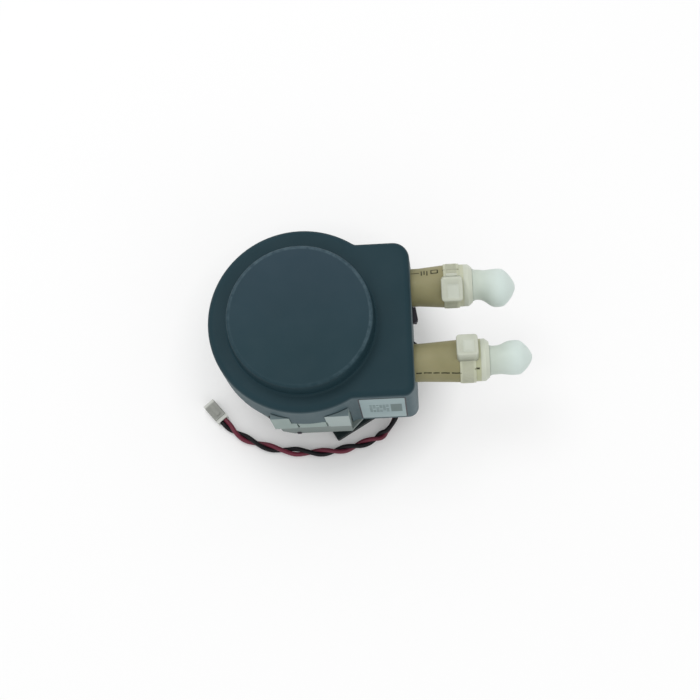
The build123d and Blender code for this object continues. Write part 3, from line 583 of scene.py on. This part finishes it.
def evenly(points, count):
    """The same line with evenly spaced points, and its length."""
    lengths = [0.0]
    for a, b in zip(points, points[1:]):
        lengths.append(lengths[-1] + (b - a).length)
    spaced, i = [], 0
    for step in range(count):
        at = lengths[-1] * step / (count - 1)
        while i < len(points) - 2 and lengths[i + 1] < at:
            i += 1
        share = (at - lengths[i]) / max(lengths[i + 1] - lengths[i], 1e-9)
        spaced.append(points[i].lerp(points[i + 1], min(share, 1.0)))
    return spaced, lengths[-1]


def twist_angle(rest):
    """How far the wires have wound round each other at this distance from the plug, in radians."""
    stops = [STRAIGHT_AT_PLUG, *CROSSINGS]
    turns = [0.0] + [0.25 + 0.5 * k for k in range(len(CROSSINGS))]
    if rest <= stops[0]:
        return 0.0
    for low, high, start, end in zip(stops, stops[1:], turns, turns[1:]):
        if rest < high:
            return 2 * math.pi * (start + (end - start) * (rest - low) / (high - low))
    return 2 * math.pi * (turns[-1] + (rest - stops[-1]) / LAZY_PITCH)


def make_lead():
    """Two insulated wires wound loosely round each other, which go side by side into the plug."""
    line, length = evenly(route_points(), LEAD_STEPS)
    tangents = [(b - a).normalized() for a, b in zip(line, line[1:])]
    tangents.append(tangents[-1])
    # a frame carried back along the line from the plug, where the wires lie level side by side
    across = tangents[-1].cross(Vector((0, 0, 1))).normalized()
    carried = []
    for tangent in reversed(tangents):
        across = (across - tangent * across.dot(tangent)).normalized()
        carried.append(across)
    carried.reverse()
    build = bmesh.new()
    for strand in (0, 1):
        rings = []
        for i, (point, tangent, across) in enumerate(zip(line, tangents, carried)):
            rest = length * (1 - i / (len(line) - 1))
            angle = twist_angle(rest) + strand * math.pi
            up = across.cross(tangent)
            spread = WIRE_SPREAD + LOOSE_EXTRA * math.exp(-((rest - LOOSE_PLACE) / LOOSE_REACH) ** 2)
            centre = point + (across * math.cos(angle) + up * math.sin(angle)) * spread
            rings.append([
                centre + (across * math.cos(a) + up * math.sin(a)) * WIRE_R
                for a in (2 * math.pi * k / WIRE_SIDES for k in range(WIRE_SIDES))
            ])
        skin(build, rings, material=strand)
    mesh = finish_mesh(build, "lead_strands")
    lead = new_object("lead_strands", mesh, FINISHES["wire_insulation"], BLACK_INSULATION)
    dress(lead, "lead_wires")


# ---- soft caps ----------------------------------------------------------------------------------------
# along the cap from its open end: distance in mm, and how far its skin has gone from neck to bulb radius
CAP_OUTSIDE = [
    (0.0, 0.28), (0.25, 0.32), (0.7, 0.14), (1.3, 0.02), (2.2, 0.0), (3.4, 0.03), (4.4, 0.12),
    (5.4, 0.34), (6.4, 0.62), (7.4, 0.83), (8.6, 0.97), (9.6, 1.0), (10.8, 0.96), (12.0, 0.8),
]
# beyond that: distance in mm, and the share of the bulb's radius
CAP_TIP = [(13.0, 0.86), (14.0, 0.73), (14.9, 0.58), (15.7, 0.41), (16.3, 0.25), (16.7, 0.11)]
HANG_START, HANG_REACH = 2.0, 6.5      # where the cap begins to lean, and over what length, in mm


def make_cap(name):
    """A soft silicone cap: an open neck that swells into a solid bulb, which hangs a little off the axis."""
    start, y = TUBE_ENDS[name] + CAP_START, SIDES[name] * TUBE_HALF_SPACING
    neck, bulb = CAP_NECK_R[name], CAP_BULB_R[name]
    rings = [round_x(start + CAP_BORE_DEPTH, CAP_BORE_R * 0.7, y, TUBE_Z)]
    rings += [round_x(start + x * MM, CAP_BORE_R, y, TUBE_Z) for x in (9.2, 6.0, 3.0, 0.3)]
    outside = [(x, neck + share * (bulb - neck)) for x, share in CAP_OUTSIDE]
    outside += [(x, share * bulb) for x, share in CAP_TIP]
    at_neck, at_bulb = CAP_SHIFT[name]
    for x, radius in outside:
        hang = min(max((x - HANG_START) / HANG_REACH, 0.0), 1.0)
        hang = hang * hang * (3 - 2 * hang)
        rings.append(round_x(start + x * MM, radius, y + at_neck + (at_bulb - at_neck) * hang, TUBE_Z))
    build = bmesh.new()
    skin(build, rings)
    cap = new_object(f"soft_cap_{name}", finish_mesh(build, f"soft_cap_{name}"), FINISHES["cap_silicone"])
    dress(cap, f"end_cap_{name}", f"{name}_cap")


# ---- ties ---------------------------------------------------------------------------------------------
def rib_tree():
    """A node tree that makes a ring of small ribs about the Z axis."""
    tree = bpy.data.node_groups.new("strap_ribs", "GeometryNodeTree")
    face = tree.interface
    face.new_socket("Geometry", in_out="OUTPUT", socket_type="NodeSocketGeometry")
    sizes = {"Count": ("NodeSocketInt", 60), "Radius": ("NodeSocketFloat", 1.0)}
    for part in ("Rib Length", "Rib Width", "Rib Height"):
        sizes[part] = ("NodeSocketFloat", 1.0)
    for name, (kind, value) in sizes.items():
        face.new_socket(name, in_out="INPUT", socket_type=kind).default_value = value
    face.new_socket("Material", in_out="INPUT", socket_type="NodeSocketMaterial")
    nodes, links = tree.nodes, tree.links
    given = nodes.new("NodeGroupInput")
    ring = nodes.new("GeometryNodeMeshCircle")
    links.new(given.outputs["Count"], ring.inputs["Vertices"])
    links.new(given.outputs["Radius"], ring.inputs["Radius"])
    size = nodes.new("ShaderNodeCombineXYZ")
    for axis, part in zip("XYZ", ("Rib Height", "Rib Width", "Rib Length")):
        links.new(given.outputs[part], size.inputs[axis])
    rib = nodes.new("GeometryNodeMeshCube")
    links.new(size.outputs[0], rib.inputs["Size"])
    out = nodes.new("GeometryNodeInputPosition")
    turn = nodes.new("FunctionNodeAlignRotationToVector")
    turn.axis = "X"
    links.new(out.outputs[0], turn.inputs["Vector"])
    copies = nodes.new("GeometryNodeInstanceOnPoints")
    links.new(ring.outputs["Mesh"], copies.inputs["Points"])
    links.new(rib.outputs["Mesh"], copies.inputs["Instance"])
    links.new(turn.outputs["Rotation"], copies.inputs["Rotation"])
    real = nodes.new("GeometryNodeRealizeInstances")
    links.new(copies.outputs[0], real.inputs[0])
    paint = nodes.new("GeometryNodeSetMaterial")
    links.new(real.outputs[0], paint.inputs["Geometry"])
    links.new(given.outputs["Material"], paint.inputs["Material"])
    done = nodes.new("NodeGroupOutput")
    links.new(paint.outputs[0], done.inputs[0])
    return tree


def ribs_mesh(tree, **sizes):
    """The mesh that the rib tree makes at these sizes."""
    holder = bpy.data.objects.new("ribs", bpy.data.meshes.new("ribs"))
    bpy.context.scene.collection.objects.link(holder)
    modifier = holder.modifiers.new("ribs", "NODES")
    modifier.node_group = tree
    for socket in tree.interface.items_tree:
        if socket.in_out == "INPUT":
            modifier[socket.identifier] = sizes[socket.name.replace(" ", "_")]
    ready = holder.evaluated_get(bpy.context.evaluated_depsgraph_get())
    mesh = bpy.data.meshes.new_from_object(ready)
    bpy.data.objects.remove(holder)
    return mesh


def make_strap(name, tree):
    """The tie's thin strap, with fine ribs across it."""
    build = bmesh.new()
    inner, outer, half = SWELL_R - 0.05 * MM, STRAP_OUTER_R - 0.08 * MM, STRAP_HALF_WIDTH
    edge = 0.15 * MM
    profile = [
        (-half, inner), (-half, outer - edge), (-half + edge, outer), (half - edge, outer),
        (half, outer - edge), (half, inner), (-half, inner),
    ]
    skin(build, [round_x(x, radius, 0.0, 0.0, 72) for x, radius in profile], ends=False)
    bmesh.ops.remove_doubles(build, verts=build.verts, dist=1e-7)
    strap = finish_mesh(build, f"strap_{name}")
    ribs = ribs_mesh(
        tree, Count=84, Radius=outer, Rib_Length=4.2 * MM, Rib_Width=0.28 * MM, Rib_Height=0.16 * MM,
        Material=STRAP_NYLON,
    )
    # the tree's ring lies about Z, and the strap's about X
    ribs.transform(Matrix.Rotation(math.pi / 2, 4, "Y"))
    build = bmesh.new()
    for mesh in (strap, ribs):
        build.from_mesh(mesh)
    both = bpy.data.meshes.new(f"tie_strap_{name}")
    build.to_mesh(both)
    build.free()
    place = Matrix.Translation((CLAMP_CENTRE[name], SIDES[name] * TUBE_HALF_SPACING, TUBE_Z))
    both.transform(place)
    made = new_object(f"tie_strap_{name}", both, STRAP_NYLON)
    dress(made, f"hose_clamp_{name}")


def rounded_ring(half_x, half_y, corner, z, middle=(0.0, 0.0)):
    """A ring of points round a rectangle with rounded corners; z is a height, or gives one for a point."""
    ring = []
    for quarter, (sign_x, sign_y) in enumerate(((1, 1), (-1, 1), (-1, -1), (1, -1))):
        for step in range(7):
            a = math.radians(90 * quarter + 15 * step)
            x = middle[0] + sign_x * (half_x - corner) + corner * math.cos(a)
            y = middle[1] + sign_y * (half_y - corner) + corner * math.sin(a)
            ring.append(Vector((x, y, z(y) if callable(z) else z)))
    return ring


# the tie's head: its half sizes along and across the tube, and the window sunk in its top
HEAD_HALF = (4.15 * MM, 4.75 * MM)
HEAD_CORNER = 1.3 * MM
HEAD_SOFT = 0.5 * MM          # radius of its top edges
HEAD_TOP = STRAP_OUTER_R + 3.1 * MM
WINDOW_HALF = (2.3 * MM, 2.9 * MM)
WINDOW_CORNER = 0.7 * MM
WINDOW_MIDDLE = (0.5 * MM, -0.7 * MM)
WINDOW_DEPTH = 0.22 * MM
TAIL_HALF = (2.2 * MM, 1.4 * MM)


def saddle_height(y):
    """How high the stretched tube's skin lies under the head, this far across it."""
    return math.sqrt(SWELL_R ** 2 - y ** 2) + 0.02 * MM


def in_window(point):
    """Whether a point of the head lies on the floor of its window."""
    return (
        point.z > HEAD_TOP - WINDOW_DEPTH * 1.1
        and abs(point.x - WINDOW_MIDDLE[0]) < WINDOW_HALF[0] - 0.15 * MM
        and abs(point.y - WINDOW_MIDDLE[1]) < WINDOW_HALF[1] - 0.15 * MM
    )


def make_head(name):
    """The tie's locking head: a rounded block saddled on the strap, and the strap's cut end."""
    half_x, half_y = HEAD_HALF
    rings = [rounded_ring(half_x * k, half_y * k, HEAD_CORNER * k, saddle_height) for k in (0.3, 0.7, 1.0)]
    for degrees in (0, 30, 60, 90):
        a = math.radians(degrees)
        inset = HEAD_SOFT * (1 - math.cos(a))
        z = HEAD_TOP - HEAD_SOFT * (1 - math.sin(a))
        rings.append(rounded_ring(half_x - inset, half_y - inset, HEAD_CORNER - inset * 0.6, z))
    window = (0.0, 0.0), (0.12 * MM, WINDOW_DEPTH * 0.5), (0.3 * MM, WINDOW_DEPTH), (1.2 * MM, WINDOW_DEPTH)
    for inset, depth in window:
        sides = [half - inset for half in WINDOW_HALF]
        rings.append(rounded_ring(*sides, WINDOW_CORNER - inset * 0.4, HEAD_TOP - depth, WINDOW_MIDDLE))
    build = bmesh.new()
    skin(build, rings)
    tail = []
    for inset, height in ((0.0, 0.05 * MM), (0.0, 0.95 * MM), (0.12 * MM, 1.1 * MM)):
        sides = [half - inset for half in TAIL_HALF]
        tail.append(rounded_ring(*sides, 0.3 * MM, STRAP_OUTER_R + height, (0.0, half_y - 0.2 * MM)))
    skin(build, tail)
    mesh = finish_mesh(build, f"tie_head_{name}")
    for polygon in mesh.polygons:
        if in_window(polygon.center):
            polygon.material_index = 1
    turn = Matrix.Rotation(math.radians(CLAMP_TURN_DEG[name]), 4, "X")
    place = Matrix.Translation((CLAMP_CENTRE[name], SIDES[name] * TUBE_HALF_SPACING, TUBE_Z))
    mesh.transform(place @ turn)
    head = new_object(f"tie_head_{name}", mesh, HEAD_NYLON, WINDOW_NYLON)
    dress(head, f"hose_clamp_{name}")


# ---- label --------------------------------------------------------------------------------------------
def make_label():
    """A thin film label on the block's front wall, and a dark rim round it: painted shade where the label
    meets the wall.
    """
    middle = [(low + high) / 2 for low, high in (LABEL_X, LABEL_Z)]
    half = [(high - low) / 2 for low, high in (LABEL_X, LABEL_Z)]
    build = bmesh.new()
    # the film, then the dark rim behind it, which is painted shade
    for material, wider, depth in ((0, 0.0, LABEL_THICK), (1, SHADE_RIM_WIDTH, LABEL_THICK * 0.4)):
        outline = rounded_ring(half[0] + wider, half[1] + wider, LABEL_CORNER, 0.0, middle)
        faces = [[Vector((p.x, -BLOCK_HALF - out, p.y)) for p in outline] for out in (-0.05 * MM, depth)]
        skin(build, faces, material=material)
    mesh = finish_mesh(build, "front_label", smooth=False)
    label = new_object("front_label", mesh, FINISHES["label_paper"], FINISHES["dark_plastic"])
    dress(label, "rating_label")


# ---- dark dots ----------------------------------------------------------------------------------------
# two small dark dots, one in the gear case's front and one in the cover's wall, where it is painted shade in a
# small
# recess: the middle of each, on the face that it stands out of
DARK_DOTS_MM = [(-5.5, -34.9, 18.3), (-14.6, -32.8, 40.4)]


def make_dark_dots():
    """Small rounded dark dots in the front of the gear case and the cover's wall; the one in the wall is
    painted shade.
    """
    build = bmesh.new()
    for x, y, z in DARK_DOTS_MM:
        rings = []
        for half, depth in ((0.95 * MM, -0.3 * MM), (0.95 * MM, 0.25 * MM), (0.75 * MM, 0.45 * MM)):
            outline = rounded_ring(half, half * 1.3, half * 0.7, 0.0)
            rings.append([Vector((x * MM + p.x, y * MM - depth, z * MM + p.y)) for p in outline])
        skin(build, rings)
    mesh = finish_mesh(build, "case_latches", smooth=False)
    dot_piece = new_object("case_latches", mesh, FINISHES["dark_plastic"])
    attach(dot_piece, "frame")


# ---- floor --------------------------------------------------------------------------------------------
GLOW_NEAR, GLOW_FAR = 0.1, 0.6               # how much of the table's white is its own glow
GLOW_RISE = (47 * MM, 64 * MM)               # distance from the pump's axis over which the glow rises


def make_floor():
    """A white table that keeps the pump's shadow, though more faintly farther out, where it glows more."""
    mesh = bpy.data.meshes.new("table")
    far, low = 3.0, -0.1 * MM
    corners = [(-far, -far, low), (far, -far, low), (far, far, low), (-far, far, low)]
    mesh.from_pydata(corners, [], [(0, 1, 2, 3)])
    finish = Finish("table_white")
    kinds = ("Camera", "Glossy", "Transmission")
    rays = [finish.node("ShaderNodeLightPath", output=f"Is {kind} Ray") for kind in kinds]
    seen = (rays[0] + rays[1] + rays[2]).math("MINIMUM", 1.0)
    _, x, y, _ = finish.place()
    lit = (x * x + y * y).root().step_up(*GLOW_RISE)
    glow = seen * (GLOW_NEAR + lit * (GLOW_FAR - GLOW_NEAR))
    paint = finish.node("ShaderNodeBsdfDiffuse", None, {"Color": (0.88, 0.88, 0.88, 1.0)})
    white = finish.node("ShaderNodeEmission", None, {"Color": (1.0, 1.0, 1.0, 1.0), "Strength": 1.0})
    both = finish.node("ShaderNodeMixShader", None, [glow, paint, white])
    finish.tree.links.new(both.socket, finish.output.inputs["Surface"])
    new_object("table", mesh, finish.material)


bpy.context.scene.view_settings.view_transform = "Standard"
make_camera()
make_world(0.85)
make_lamp("key", (-0.2, 0.3, 1.0), (0, 0, 0.03), 0.5, 3.0)
make_lamp("fill", (0.5, -0.6, 0.7), (0, 0, 0.03), 0.8, 0.8)
make_floor()
dress_nodes()
make_lead()
strap_ribs = rib_tree()
for end_name in SIDES:
    make_cap(end_name)
    make_strap(end_name, strap_ribs)
    make_head(end_name)
make_label()
make_dark_dots()
